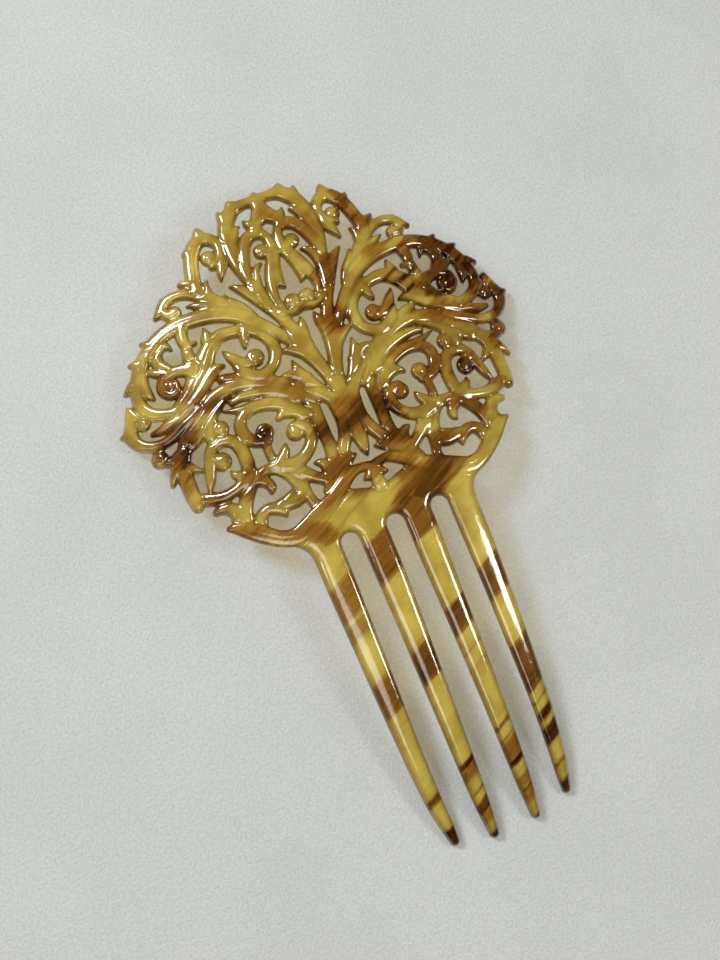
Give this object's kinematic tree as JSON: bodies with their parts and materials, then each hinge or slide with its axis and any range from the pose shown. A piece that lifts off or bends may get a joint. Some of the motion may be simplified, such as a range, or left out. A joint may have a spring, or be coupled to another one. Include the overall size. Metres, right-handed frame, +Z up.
{
  "type": "decorative hair comb",
  "caption": "Bent openwork hair comb with long tapered tines below a spine and a pierced crest of acanthus scrolls, in mottled amber and brown.",
  "frame": {"origin": "under the middle of the comb's length and width, on the surface that the comb lies on", "axes": "+X across the comb, +Y along it from the tines to the crest, +Z up, out of the convex face"},
  "size_m": [0.1188, 0.1902, 0.0177],
  "materials": {
    "celluloid": "polished, mottled amber and brown, slightly translucent"
  },
  "bodies": {
    "root": {"spine": "celluloid", "tine_outer_left": "celluloid", "tine_inner_left": "celluloid", "tine_inner_right": "celluloid", "tine_outer_right": "celluloid", "base_band": "celluloid", "clasp": "celluloid", "centre_fan": "celluloid", "centre_bud": "celluloid", "crown": "celluloid", "crown_scroll_left": "celluloid", "crown_scroll_right": "celluloid", "drop_leaf_left": "celluloid", "drop_leaf_right": "celluloid", "crown_leaf_left": "celluloid", "crown_leaf_right": "celluloid", "trunk_left": "celluloid", "trunk_right": "celluloid", "shoulder_scroll_left": "celluloid", "shoulder_scroll_right": "celluloid", "upper_scroll_left": "celluloid", "upper_scroll_right": "celluloid", "shoulder_leaf_left": "celluloid", "shoulder_leaf_right": "celluloid", "upper_volute_left": "celluloid", "upper_volute_right": "celluloid", "flower_leaf_left": "celluloid", "flower_leaf_right": "celluloid", "middle_scroll_left": "celluloid", "middle_scroll_right": "celluloid", "side_leaf_left": "celluloid", "side_leaf_right": "celluloid", "side_stem_left": "celluloid", "side_stem_right": "celluloid", "lower_scroll_left": "celluloid", "lower_scroll_right": "celluloid", "inner_curl_left": "celluloid", "inner_curl_right": "celluloid", "low_scroll_left": "celluloid", "low_scroll_right": "celluloid", "low_volute_left": "celluloid", "low_volute_right": "celluloid", "stalk_left": "celluloid", "stalk_right": "celluloid", "side_volute_left": "celluloid", "side_volute_right": "celluloid", "base_scroll_left": "celluloid", "base_scroll_right": "celluloid"}
  },
  "joints": []
}
